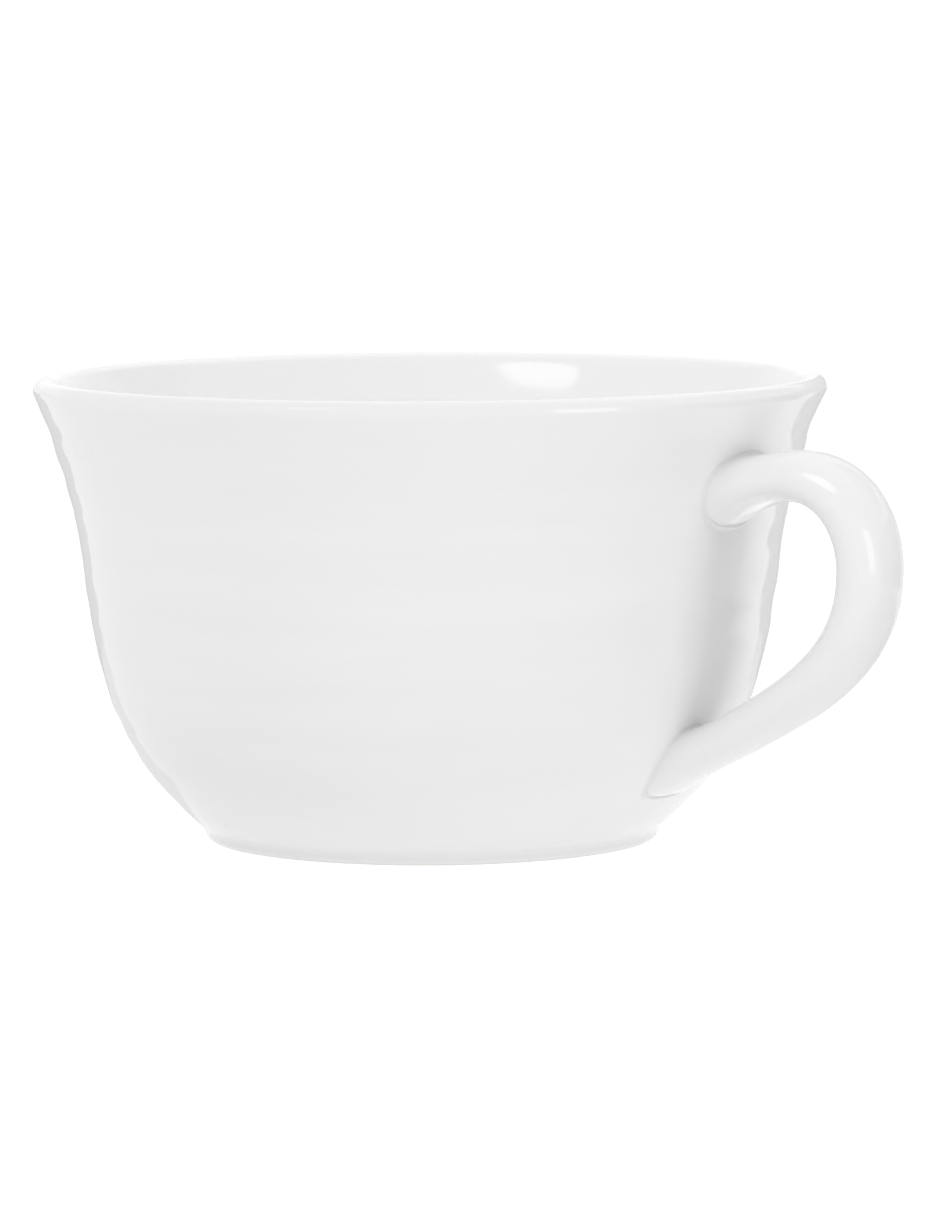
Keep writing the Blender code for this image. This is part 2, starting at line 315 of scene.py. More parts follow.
def round_corners(piece, corners):
    """Round the marked corners of a section that is being edited."""
    for radius, height, roundness in corners:
        place = AXIS + Vector((radius * MM, 0.0, height * MM))
        bpy.ops.mesh.select_all(action="DESELECT")
        shape = bmesh.from_edit_mesh(piece.data)
        nearest = min(shape.verts, key=lambda vertex: (vertex.co - place).length)
        nearest.select = True
        shape.select_flush_mode()
        bmesh.update_edit_mesh(piece.data)
        bpy.ops.mesh.bevel(offset=roundness * MM, segments=CORNER_STEPS, affect="VERTICES")


def turn_section(piece, turns):
    """Turn the section that is being edited once round the bowl's axis, and close it."""
    bpy.ops.mesh.select_all(action="SELECT")
    bpy.ops.mesh.spin(steps=turns, angle=2 * math.pi, center=AXIS, axis=(0.0, 0.0, 1.0))
    bpy.ops.mesh.select_all(action="SELECT")
    bpy.ops.mesh.remove_doubles(threshold=WELD)
    bpy.ops.mesh.normals_make_consistent(inside=False)
    bpy.ops.object.mode_set(mode="OBJECT")
    bpy.ops.object.shade_smooth()
    return piece


def press_hand_marks(piece, name, span, depth, start):
    """Uneven traces of the thrower's hands on the outer wall: long round the bowl, short up it.
    Round the handle's roots they were wiped away."""
    roots = [
        AXIS + Vector((smooth_radius(height), 0.0, height))
        for height in (UPPER_ROOT_HEIGHT, LOWER_ROOT_HEIGHT)
    ]
    wall = piece.vertex_groups.new(name=name)
    for vertex in piece.data.vertices:
        height = vertex.co.z
        radius = (vertex.co - AXIS).xy.length
        on_wall_height = HEEL[0] < height < UNDER_LIP[0]
        if on_wall_height and radius > smooth_radius(height) - MARKED_DEPTH:
            fade = ease((height - HEEL[0]) / MARKS_FADE_IN)
            fade *= ease((UNDER_LIP[0] - height) / MARKS_FADE_OUT)
            for root in roots:
                fade *= ease(((vertex.co - root).length - WIPED_RADIUS) / WIPED_FADE)
            wall.add([vertex.index], fade, "REPLACE")
    guide = bpy.data.objects.new(name + "_guide", None)
    bpy.context.scene.collection.objects.link(guide)
    guide.location = start
    guide.scale = span
    bpy.context.view_layer.update()
    pattern = bpy.data.textures.new(name, "CLOUDS")
    pattern.noise_scale = 1.0
    pattern.noise_depth = 1
    marks = piece.modifiers.new(name, "DISPLACE")
    marks.texture = pattern
    marks.texture_coords = "OBJECT"
    marks.texture_coords_object = guide
    marks.vertex_group = wall.name
    marks.strength = depth
    marks.mid_level = 0.5
    bpy.ops.object.modifier_apply(modifier=marks.name)
    bpy.data.objects.remove(guide, do_unlink=True)
    piece.vertex_groups.remove(piece.vertex_groups[name])


def dent_lip(piece):
    """A shallow dent under the lip at one side."""
    turn, middle, half_height, depth = LIP_DENT
    way = Vector((math.cos(turn), math.sin(turn), 0.0))
    start, run = LIP_DENT_SIDES
    for vertex in piece.data.vertices:
        around = (vertex.co - AXIS).xy.to_3d()
        beside = ease((around.normalized().dot(way) - start) / run)
        level = ease(1.0 - abs(vertex.co.z - middle) / half_height)
        if around.length > smooth_radius(min(vertex.co.z, UNDER_LIP[0])) - DENTED_DEPTH:
            vertex.co -= around.normalized() * (depth * beside * level)


def mark_inside(piece):
    """Note on the mesh how far each point lies inside the bowl, for the lighter tone there, which
    is painted light.
    """
    inside = piece.data.attributes.new("inside", "FLOAT", "POINT")
    for vertex in piece.data.vertices:
        height = vertex.co.z
        if height > 0.5 * (RECESS_HEIGHT + FLOOR_HEIGHT):
            depth = smooth_radius(min(height, UNDER_LIP[0])) - (vertex.co - AXIS).xy.length
            inside.data[vertex.index].value = ease(depth / INSIDE_DEPTH)


def make_bowl():
    """The thrown bowl: one section, turned once round, with its marks."""
    bowl = draw_section("thrown_bowl", bowl_section())
    round_corners(bowl, FOOT_CORNERS)
    turn_section(bowl, TURNS)
    press_hand_marks(bowl, "hand_marks", *HAND_MARKS)
    press_hand_marks(bowl, "finger_marks", *FINGER_MARKS)
    dent_lip(bowl)
    mark_inside(bowl)
    return bowl


def strap_curves():
    """The upper and lower half of the handle's centre line, from root to root."""
    upper = Vector((smooth_radius(UPPER_ROOT_HEIGHT) - ROOT_SINK, UPPER_ROOT_HEIGHT))
    bend = Vector((smooth_radius(BEND_HEIGHT) + FINGER_GAP + BEND_SIZE[0] / 2, BEND_HEIGHT))
    lower = Vector((smooth_radius(LOWER_ROOT_HEIGHT) - ROOT_SINK, LOWER_ROOT_HEIGHT))
    leave = Vector((math.cos(UPPER_LIFT), math.sin(UPPER_LIFT)))
    arrive = Vector((math.cos(LOWER_CLIMB), math.sin(LOWER_CLIMB)))
    above = (upper, upper + leave * UPPER_PULL, bend + Vector((0.0, BEND_PULL_ABOVE)), bend)
    below = (bend, bend - Vector((0.0, BEND_PULL_BELOW)), lower + arrive * LOWER_PULL, lower)
    return above, below


def strap_stations(rings):
    """Sections of the handle from the upper to the lower root: centre, heading, thickness, width
    and fullness. Towards a root the strap swells, mostly on its upper side, and its section gets
    fuller corners."""
    above, below = strap_curves()
    stations = []
    for knots, start, end, root, flare in (
        (above, UPPER_SIZE, BEND_SIZE, above[0], UPPER_FLARE),
        (below, BEND_SIZE, LOWER_SIZE, below[3], LOWER_FLARE),
    ):
        thicker, wider, length, outer_side, fuller = flare
        for step in range(rings + 1):
            t = step / rings
            centre = curve_point(knots, t)
            heading = curve_heading(knots, t)
            past_wall = (centre - root).length - ROOT_SINK
            near = min(max(1.0 - past_wall / length, 0.0), 1.0) ** 2
            thickness = start[0] + (end[0] - start[0]) * ease(t) + thicker * near
            width = start[1] + (end[1] - start[1]) * ease(t) + wider * near
            outward = Vector((-heading.y, heading.x))
            centre = centre + outward * (0.5 * outer_side * thicker * near)
            stations.append((centre, heading, thickness, width, 2.0 + fuller * near))
        if knots is above:
            stations.pop()
    return stations


def strap_point(station, angle):
    """Point on the skin of the strap. Angle 0 is on the outside of the loop."""
    centre, heading, thickness, width, fullness = station
    across, over = math.cos(angle), math.sin(angle)
    reach = (abs(across) ** fullness + abs(over) ** fullness) ** (-1.0 / fullness)
    outward = Vector((-heading.y, heading.x))
    place = centre + outward * (0.5 * thickness * across * reach)
    return AXIS + Vector((place.x, 0.5 * width * over * reach, place.y))


def pull_strap(name, stations):
    """A straight round strap, drawn out ring by ring."""
    clear_selection()
    bpy.ops.mesh.primitive_circle_add(vertices=STRAP_SIDES, radius=MM, location=(0.0, 0.0, 0.0))
    strap = bpy.context.object
    strap.name = name
    bpy.ops.object.mode_set(mode="EDIT")
    bpy.ops.mesh.select_all(action="SELECT")
    for before, after in zip(stations, stations[1:]):
        step = (after[0] - before[0]).length
        bpy.ops.mesh.extrude_region_move(TRANSFORM_OT_translate={"value": (0.0, 0.0, step)})
    bpy.ops.object.mode_set(mode="OBJECT")
    return strap


def bend_strap(strap, stations):
    """Lay the rings of the straight strap along the handle's centre line, each with its own
    section."""
    for index, station in enumerate(stations):
        for vertex in strap.data.vertices[index * STRAP_SIDES:(index + 1) * STRAP_SIDES]:
            vertex.co = strap_point(station, math.atan2(vertex.co.y, vertex.co.x))


def run_into_wall(strap):
    """Carry both open ends of the strap on into the bowl and close them."""
    bpy.ops.object.mode_set(mode="EDIT")
    bpy.ops.mesh.select_mode(type="EDGE")
    for want_upper in (True, False):
        bpy.ops.mesh.select_all(action="DESELECT")
        shape = bmesh.from_edit_mesh(strap.data)
        for edge in shape.edges:
            middle = (edge.verts[0].co.z + edge.verts[1].co.z) / 2
            edge.select = edge.is_boundary and (middle > BEND_HEIGHT) == want_upper
        bmesh.update_edit_mesh(strap.data)
        bpy.ops.mesh.extrude_region_move(TRANSFORM_OT_translate={"value": (-ROOT_RUN, 0.0, 0.0)})
        bpy.ops.mesh.edge_face_add()
    bpy.ops.mesh.select_all(action="SELECT")
    bpy.ops.mesh.normals_make_consistent(inside=False)
    bpy.ops.mesh.select_mode(type="VERT")
    bpy.ops.object.mode_set(mode="OBJECT")


def seat_tool():
    """Solid block with the wall's outer face, a little under it, to cut the handle's seats."""
    drop = HEEL[0] - UNDER_LIP[0]
    heights = [UNDER_LIP[0] + drop * step / SEAT_STEPS for step in range(SEAT_STEPS + 1)]
    side = [wall_point(height, -SEAT_DEPTH) for height in heights]
    section = [Vector((0.0, side[0].y))] + side + [Vector((0.0, side[-1].y))]
    return turn_section(draw_section("seat_tool", section), SEAT_TURNS)


def make_handle():
    """The pulled handle, with both roots cut to the wall."""
    stations = strap_stations(STRAP_RINGS)
    strap = pull_strap("pulled_handle", stations)
    bend_strap(strap, stations)
    run_into_wall(strap)
    tool = seat_tool()
    clear_selection()
    strap.select_set(True)
    bpy.context.view_layer.objects.active = strap
    round_off = strap.modifiers.new("round_off", "SUBSURF")
    round_off.levels = STRAP_SMOOTHING
    round_off.render_levels = STRAP_SMOOTHING
    seat = strap.modifiers.new("seat", "BOOLEAN")
    seat.object = tool
    seat.operation = "DIFFERENCE"
    bpy.ops.object.modifier_apply(modifier=round_off.name)
    bpy.ops.object.modifier_apply(modifier=seat.name)
    bpy.data.objects.remove(tool, do_unlink=True)
    bpy.ops.object.shade_smooth_by_angle(angle=SMOOTH_ANGLE)
    return strap


def on_wall(place):
    """The wall's own point beside a place."""
    height = min(max(place.z, HEEL[0] + WALL_END), UNDER_LIP[0] - WALL_END)
    around = (place - AXIS).xy.normalized()
    radius = smooth_radius(height) + ring_push(height)
    return AXIS + Vector((around.x * radius, around.y * radius, height))


def wall_normal(place):
    """Direction square to the wall at a place on it."""
    around = (place - AXIS).xy.normalized()
    return Vector((around.x, around.y, -wall_slope(place.z))).normalized()


def clearance(place):
    """How far a place lies outside the wall."""
    height = min(max(place.z, HEEL[0]), UNDER_LIP[0])
    return (place - AXIS).xy.length - smooth_radius(height) - ring_push(place.z)


def seat_crossing(stations, angle):
    """Where a line along the strap's skin meets the wall, and the line's way out from there."""
    line = [strap_point(station, angle) for station in stations]
    line.insert(0, line[0] - Vector((ROOT_RUN, 0.0, 0.0)))
    for inner, outer in zip(line, line[1:]):
        inside, outside = clearance(inner), clearance(outer)
        if inside <= 0.0 < outside:
            share = -inside / (outside - inside)
            return inner.lerp(outer, share), line[line.index(outer):]
    raise ValueError("the strap misses the wall")


def along(start, line, distance):
    """Point at a distance from a start along a line of points."""
    here = start
    for there in line:
        step = (there - here).length
        if step >= distance:
            return here.lerp(there, distance / step)
        distance -= step
        here = there
    return here


def lay_fillet(name, stations):
    """A closed loop of slip in the corner between a root and the wall, hollow on its outer face."""
    minor = FILLET_STEPS + 4
    clear_selection()
    bpy.ops.mesh.primitive_torus_add(
        major_segments=FILLET_TURNS,
        minor_segments=minor,
        major_radius=FILLET_BLANK,
        minor_radius=MM,
    )
    fillet = bpy.context.object
    fillet.name = name
    angles = [2 * math.pi * turn / FILLET_TURNS for turn in range(FILLET_TURNS)]
    crossings = [seat_crossing(stations, angle) for angle in angles]
    corners = [crossing[0] for crossing in crossings]
    middle = sum(corners, Vector()) / len(corners)
    root = stations[0][0]
    for turn, (corner, line) in enumerate(crossings):
        normal = wall_normal(corner)
        run = corners[(turn + 1) % FILLET_TURNS] - corners[turn - 1]
        away = run.cross(normal).normalized()
        if away.dot(corner - middle) < 0.0:
            away.negate()
        on_strap = along(corner, line, FILLET_CLIMB)
        on_bowl = on_wall(corner + away * FILLET_SPREAD)
        outward = line[0] - corner
        inward = AXIS + Vector((root.x, 0.0, root.y)) - corner
        inward -= inward.dot(outward) * outward / outward.length_squared
        inward.normalize()
        loop = []
        for step in range(FILLET_STEPS + 1):
            t = step / FILLET_STEPS
            place = on_strap * (1 - t) ** 2 + corner * (2 * t * (1 - t)) + on_bowl * t * t
            place += inward * (FILLET_EDGE * (1 - t) ** 2) - normal * (FILLET_EDGE * t * t)
            loop.append(place)
        loop.append(on_bowl - normal * FILLET_DEPTH)
        loop.append(corner - normal * FILLET_DEPTH + inward * FILLET_CORNER)
        loop.append(on_strap + inward * FILLET_DEPTH)
        for index, place in enumerate(loop):
            fillet.data.vertices[turn * minor + index].co = place
    bpy.ops.object.mode_set(mode="EDIT")
    bpy.ops.mesh.select_all(action="SELECT")
    bpy.ops.mesh.normals_make_consistent(inside=False)
    bpy.ops.object.mode_set(mode="OBJECT")
    bpy.ops.object.transform_apply(location=True, rotation=True, scale=True)
    bpy.ops.object.shade_smooth_by_angle(angle=SMOOTH_ANGLE)
    return fillet


def feed(tree, source, socket):
    """Give a socket a fixed value or another node's output."""
    if isinstance(source, bpy.types.NodeSocket):
        tree.links.new(source, socket)
    else:
        socket.default_value = source


def add_ramp(tree, value, low, high, start, end, smooth=False):
    """Map a value from one range to another, held at both ends."""
    ramp = tree.nodes.new("ShaderNodeMapRange")
    if smooth:
        ramp.interpolation_type = "SMOOTHSTEP"
    ramp.inputs["From Min"].default_value = low
    ramp.inputs["From Max"].default_value = high
    ramp.inputs["To Min"].default_value = start
    ramp.inputs["To Max"].default_value = end
    tree.links.new(value, ramp.inputs["Value"])
    return ramp.outputs["Result"]


def add_mix(tree, factor, first, second, kind="FLOAT"):
    """Blend two values or two tones."""
    mix = tree.nodes.new("ShaderNodeMix")
    mix.data_type = kind
    tree.links.new(factor, mix.inputs["Factor"])
    feed(tree, first, mix.inputs["A"])
    feed(tree, second, mix.inputs["B"])
    return mix.outputs["Result"]


def add_math(tree, operation, first, second):
    """Join two values into one."""
    join = tree.nodes.new("ShaderNodeMath")
    join.operation = operation
    feed(tree, first, join.inputs[0])
    feed(tree, second, join.inputs[1])
    return join.outputs["Value"]


def add_vector_math(tree, operation, first, second=None, result="Value"):
    """Measure or change a vector."""
    node = tree.nodes.new("ShaderNodeVectorMath")
    node.operation = operation
    tree.links.new(first, node.inputs[0])
    if second is not None:
        node.inputs[1].default_value = second
    return node.outputs[result]


def add_noise(tree, place, scale, detail):
    """Soft noise."""
    noise = tree.nodes.new("ShaderNodeTexNoise")
    noise.inputs["Scale"].default_value = scale
    noise.inputs["Detail"].default_value = detail
    tree.links.new(place, noise.inputs["Vector"])
    return noise.outputs["Fac"]


def glaze_skin_group():
    """Tone, gloss and relief of a clear glaze over white clay."""
    group = bpy.data.node_groups.new("glaze_skin", "ShaderNodeTree")
    for name, way, kind in (
        ("Thin Tone", "INPUT", "NodeSocketColor"),
        ("Thick Tone", "INPUT", "NodeSocketColor"),
        ("Inside Tone", "INPUT", "NodeSocketColor"),
        ("Roughness", "INPUT", "NodeSocketFloat"),
        ("Color", "OUTPUT", "NodeSocketColor"),
        ("Roughness", "OUTPUT", "NodeSocketFloat"),
        ("Height", "OUTPUT", "NodeSocketFloat"),
    ):
        group.interface.new_socket(name, in_out=way, socket_type=kind)
    link = group.links.new
    given = group.nodes.new("NodeGroupInput").outputs
    made = group.nodes.new("NodeGroupOutput").inputs
    place = group.nodes.new("ShaderNodeTexCoord").outputs["Object"]

    # Tone: streaks of thin and thick glaze, a lighter tone inside the bowl as painted light, and no
    # glaze on the standing ring
    streak = group.nodes.new("ShaderNodeMapping")
    streak.inputs["Scale"].default_value = STREAK_STRETCH
    link(place, streak.inputs["Vector"])
    cloud = add_noise(group, streak.outputs["Vector"], *STREAK_NOISE)
    tone = add_mix(group, cloud, given["Thin Tone"], given["Thick Tone"], "RGBA")
    depth = group.nodes.new("ShaderNodeAttribute")
    depth.attribute_name = "inside"
    # Painted light: the inside of the bowl takes a lighter tone
    inside_lightened = add_mix(group, depth.outputs["Fac"], tone, given["Inside Tone"], "RGBA")
    parts = group.nodes.new("ShaderNodeSeparateXYZ")
    link(place, parts.inputs["Vector"])
    bare = add_ramp(group, parts.outputs["Z"], *BARE_HEIGHTS, 1.0, 0.0)
    clay = add_mix(group, add_noise(group, place, *GRIT_NOISE), *CLAY_TONES, "RGBA")
    link(add_mix(group, bare, inside_lightened, clay, "RGBA"), made["Color"])

    # Gloss: a little uneven, and dull where the clay is bare
    haze = add_noise(group, place, *HAZE_NOISE)
    spread = add_ramp(group, haze, *HAZE_RANGE, *HAZE_SPREAD)
    gloss = add_math(group, "MULTIPLY", given["Roughness"], spread)
    link(add_mix(group, bare, gloss, CLAY_ROUGHNESS), made["Roughness"])

    # Relief: orange peel and small pits
    peel = add_noise(group, place, *PEEL_NOISE)
    pits = group.nodes.new("ShaderNodeTexVoronoi")
    pits.inputs["Scale"].default_value = PIT_SCALE
    link(place, pits.inputs["Vector"])
    pit = add_ramp(group, pits.outputs["Distance"], 0.0, PIT_REACH, PIT_DEPTH, 0.0)
    link(add_math(group, "ADD", peel, pit), made["Height"])
    return group


def glaze_material(name, skin, thin, thick):
    """A glaze with its own tones."""
    material = bpy.data.materials.new(name)
    material.use_nodes = True
    tree = material.node_tree
    shader = tree.nodes["Principled BSDF"]
    glaze = tree.nodes.new("ShaderNodeGroup")
    glaze.node_tree = skin
    glaze.inputs["Thin Tone"].default_value = (*thin, 1.0)
    glaze.inputs["Thick Tone"].default_value = (*thick, 1.0)
    glaze.inputs["Inside Tone"].default_value = (*INSIDE_LIGHTENED_TONE, 1.0)
    glaze.inputs["Roughness"].default_value = GLAZE_ROUGHNESS
    bump = tree.nodes.new("ShaderNodeBump")
    bump.inputs["Strength"].default_value = PEEL_STRENGTH
    bump.inputs["Distance"].default_value = PEEL_DEPTH
    tree.links.new(glaze.outputs["Height"], bump.inputs["Height"])
    tree.links.new(bump.outputs["Normal"], shader.inputs["Normal"])
    tree.links.new(glaze.outputs["Color"], shader.inputs["Base Color"])
    tree.links.new(glaze.outputs["Roughness"], shader.inputs["Roughness"])
    shader.inputs["IOR"].default_value = GLAZE_IOR
    return material


def dress(piece, material):
    """Give a piece its only material and tie it to the cup's body."""
    piece.data.materials.clear()
    piece.data.materials.append(material)
    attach(piece, "root")


# Fill from the surroundings, at the left and at the right, low and high up, and the climb over
# which it goes from low to high
FILL_LEFT = 0.80
FILL_RIGHT = 0.10
ABOVE_LEFT = 0.76
ABOVE_RIGHT = 0.64
HIGH_UP = (0.15, 0.65)

# Floor: glow and tone as it lights the cup, and as it is seen. It is dimmed in spots: right of the
# axis, toward the camera, reach, and the share of the glow that is left in the middle.
FLOOR_SIZE = 40.0
FLOOR_BOUNCE_GLOW = 0.70
FLOOR_BOUNCE_TONE = 0.30
FLOOR_SEEN_GLOW = 0.88
FLOOR_SEEN_TONE = 0.25
DIM_SPOTS = ((0.085, 0.030, 0.060, 0.55), (-0.050, 0.022, 0.045, 0.84))

# Grey card behind the cup, and the mat that runs from its foot toward the camera
CARD_LEVEL = 0.66
CARD_WIDTH = 0.24
CARD_HEIGHT = 0.053
CARD_DISTANCE = 0.12
CARD_SHIFT = 0.008
CARD_LIFT = 0.2 * MM
MAT_LEVEL = 0.84
MAT_TAPER = 0.21
MAT_SHIFT = -0.025

# Cards by the handle: right of the axis, toward the camera, height, tilt, turn, size, level, and
# whether the grey runs out into white
SIDE_CARDS = (
    ("floor_card", 0.052, -0.035, 0.0006, 0.0, 0.0, (0.010, 0.050), 1.5, False),
    ("handle_back_card", 0.125, -0.100, 0.078, 90.0, 0.0, (0.130, 0.045), 0.70, False),
    ("handle_side_card", 0.208, -0.005, 0.052, 90.0, -80.0, (0.240, 0.096), 0.55, False),
    ("handle_floor_card", 0.135, 0.010, 0.0003, 0.0, 0.0, (0.180, 0.170), 0.60, True),
)
FADE_START = 0.45

# Lamps and cards that face the cup: turn to the right of the camera, climb, distance, width, height
# and radiance or level. Glints also have a shape and a roll.
AIM_HEIGHT = 0.036
SOFTBOXES = (
    ("key_softbox", -24.0, 52.0, 0.80, 0.40, 0.40, 2.95),
    ("right_softbox", 52.0, 9.0, 0.42, 0.11, 0.20, 3.7),
    ("back_softbox", 140.0, 45.0, 0.70, 0.36, 0.36, 3.0),
)
GLINTS = (
    ("left_glint", -42.3, 43.7, 0.75, 0.31, 0.070, 2.4, "ELLIPSE", 13.0),
    ("top_glint", -7.0, 63.5, 0.75, 0.44, 0.40, 2.3, "ELLIPSE", 0.0),
    ("right_glint", 43.0, 9.0, 0.42, 0.13, 0.20, 1.8, "RECTANGLE", 0.0),
)
HUNG_CARDS = (
    ("back_card", -172.0, 16.0, 0.55, 0.95, 0.14, 1.15),
    ("handle_high_card", 122.0, 37.0, 0.35, 0.24, 0.15, 0.62),
)

# Camera: turn round the bowl's axis, distance from it and height, the point it looks at, its tilt
# and its lens
CAMERA_TURN = math.radians(35.80)
CAMERA_DISTANCE = 0.820
CAMERA_HEIGHT = 0.1122
TARGET_RIGHT = 0.00499
TARGET_HEIGHT = 0.02953
CAMERA_TILT = math.radians(-0.296)
LENS = 189.1
SENSOR = 36.0
NEAREST = 0.01

UP = Vector((0.0, 0.0, 1.0))
TOWARDS_CAMERA = Vector((math.sin(CAMERA_TURN), -math.cos(CAMERA_TURN), 0.0))
CAMERA_RIGHT = Vector((math.cos(CAMERA_TURN), math.sin(CAMERA_TURN), 0.0))


def set_camera():
    """Long lens a little above the rim, with the handle at front right."""
    lens = bpy.data.cameras.new("camera")
    camera = bpy.data.objects.new("camera", lens)
    bpy.context.scene.collection.objects.link(camera)
    place = AXIS + TOWARDS_CAMERA * CAMERA_DISTANCE + UP * CAMERA_HEIGHT
    target = AXIS + CAMERA_RIGHT * TARGET_RIGHT + UP * TARGET_HEIGHT
    ahead = (target - place).normalized()
    right = ahead.cross(UP).normalized()
    up = right.cross(ahead)
    side = right * math.cos(CAMERA_TILT) + up * math.sin(CAMERA_TILT)
    top = up * math.cos(CAMERA_TILT) - right * math.sin(CAMERA_TILT)
    turn = Matrix((side, top, -ahead)).transposed()
    camera.matrix_world = Matrix.Translation(place) @ turn.to_4x4()
    lens.sensor_width = SENSOR
    lens.lens = LENS
    lens.clip_start = NEAREST
    bpy.context.scene.camera = camera


def direction(turn, climb):
    """Direction from the cup: turn to the right of the camera and climb, in degrees."""
    turn, climb = math.radians(turn), math.radians(climb)
    level = TOWARDS_CAMERA * math.cos(turn) + CAMERA_RIGHT * math.sin(turn)
    return level * math.cos(climb) + UP * math.sin(climb)


def face_cup(thing, turn, climb, distance, roll=0.0):
    """Put a lamp or a card at a distance from the cup, turn it to the cup and roll it in its own
    plane."""
    way = direction(turn, climb)
    thing.location = AXIS + UP * AIM_HEIGHT + way * distance
    rolled = way.to_track_quat("Z", "Y") @ Quaternion(UP, math.radians(roll))
    thing.rotation_euler = rolled.to_euler()


def hang_lamp(name, turn, climb, distance, width, height, radiance, shape="RECTANGLE", roll=0.0):
    """A lit panel that faces the cup and that the camera doesn't see."""
    lamp = bpy.data.lights.new(name, "AREA")
    lamp.shape = shape
    lamp.size = width
    lamp.size_y = height
    lamp.energy = radiance * math.pi * width * height
    if shape == "ELLIPSE":
        lamp.energy *= math.pi / 4
    panel = bpy.data.objects.new(name, lamp)
    bpy.context.scene.collection.objects.link(panel)
    face_cup(panel, turn, climb, distance, roll)
    panel.visible_camera = False
    return panel


def mirror_only_in(piece, lamp_name):
    """Let one piece alone mirror a lamp."""
    mirrors = bpy.data.collections.new(lamp_name)
    mirrors.objects.link(piece)
    bpy.data.objects[lamp_name].light_linking.receiver_collection = mirrors


def even_glow(name, level):
    """An even grey or white that glows at the given level."""
    material = bpy.data.materials.new(name)
    material.use_nodes = True
    tree = material.node_tree
    tree.nodes.clear()
    output = tree.nodes.new("ShaderNodeOutputMaterial")
    glow = tree.nodes.new("ShaderNodeEmission")
    glow.inputs["Strength"].default_value = level
    tree.links.new(glow.outputs["Emission"], output.inputs["Surface"])
    return material


def show_in_gloss(card, level):
    """Make a card an even grey or white that only the gloss of the cup sees."""
    card.data.materials.append(even_glow(card.name, level))
    card.visible_camera = False
    card.visible_diffuse = False
    card.visible_transmission = False
    card.visible_shadow = False


def fade_to_white(card, size, level):
    """Let a card's grey run out into white toward its border."""
    tree = card.data.materials[0].node_tree
    place = tree.nodes.new("ShaderNodeTexCoord").outputs["Object"]
    half = (size[0] / 2, size[1] / 2, 1.0)
    share = add_vector_math(tree, "DIVIDE", place, half, "Vector")
    reach = add_vector_math(tree, "LENGTH", share)
    fade = add_ramp(tree, reach, FADE_START, 1.0, level, 1.0, smooth=True)
    tree.links.new(fade, tree.nodes["Emission"].inputs["Strength"])


def cut_card(name, width, height):
    """A flat card."""
    clear_selection()
    bpy.ops.mesh.primitive_plane_add(size=1.0)
    card = bpy.context.object
    card.name = name
    bpy.ops.object.mode_set(mode="EDIT")
    bpy.ops.transform.resize(value=(width, height, 1.0))
    bpy.ops.object.mode_set(mode="OBJECT")
    return card


def hang_card(name, turn, climb, distance, width, height, level):
    """A card that faces the cup."""
    card = cut_card(name, width, height)
    face_cup(card, turn, climb, distance)
    show_in_gloss(card, level)


def seen_or_mirrored(tree):
    """1 for what the camera sees directly, mirrored or through glass, and 0 for the light that
    falls on the cup."""
    rays = tree.nodes.new("ShaderNodeLightPath").outputs
    either = rays["Is Camera Ray"]
    for kind in ("Is Glossy Ray", "Is Transmission Ray"):
        either = add_math(tree, "MAXIMUM", either, rays[kind])
    return either


def glowing_white(tree, glow_strength, shade_tone):
    """A matt white that glows a little, so that shadows on it stay faint."""
    both = tree.nodes.new("ShaderNodeAddShader")
    glow = tree.nodes.new("ShaderNodeEmission")
    feed(tree, glow_strength, glow.inputs["Strength"])
    matt = tree.nodes.new("ShaderNodeBsdfDiffuse")
    matt.inputs["Color"].default_value = (shade_tone, shade_tone, shade_tone, 1.0)
    tree.links.new(glow.outputs["Emission"], both.inputs[0])
    tree.links.new(matt.outputs["BSDF"], both.inputs[1])
    return both.outputs["Shader"]


def dimmed_beside_cup(tree, full):
    """The floor's glow, with some of it taken away under the handle and at the left heel, where the
    cup keeps the light off."""
    place = tree.nodes.new("ShaderNodeTexCoord").outputs["Object"]
    strength = full
    for right, toward, reach, share in DIM_SPOTS:
        middle = AXIS + CAMERA_RIGHT * right + TOWARDS_CAMERA * toward
        distance = add_vector_math(tree, "DISTANCE", place, middle)
        fade = add_ramp(tree, distance, 0.0, reach, share, 1.0, smooth=True)
        strength = add_math(tree, "MULTIPLY", fade, strength)
    return strength


def make_floor():
    """Plain white floor that keeps a faint shadow."""
    clear_selection()
    bpy.ops.mesh.primitive_plane_add(size=FLOOR_SIZE)
    floor = bpy.context.object
    floor.name = "floor"
    material = bpy.data.materials.new("white_floor")
    material.use_nodes = True
    tree = material.node_tree
    tree.nodes.clear()
    output = tree.nodes.new("ShaderNodeOutputMaterial")
    mix = tree.nodes.new("ShaderNodeMixShader")
    bounce_glow = dimmed_beside_cup(tree, FLOOR_BOUNCE_GLOW)
    bounce = glowing_white(tree, bounce_glow, FLOOR_BOUNCE_TONE)
    seen = glowing_white(tree, FLOOR_SEEN_GLOW, FLOOR_SEEN_TONE)
    tree.links.new(seen_or_mirrored(tree), mix.inputs["Fac"])
    tree.links.new(bounce, mix.inputs[1])
    tree.links.new(seen, mix.inputs[2])
    tree.links.new(mix.outputs["Shader"], output.inputs["Surface"])
    floor.data.materials.append(material)


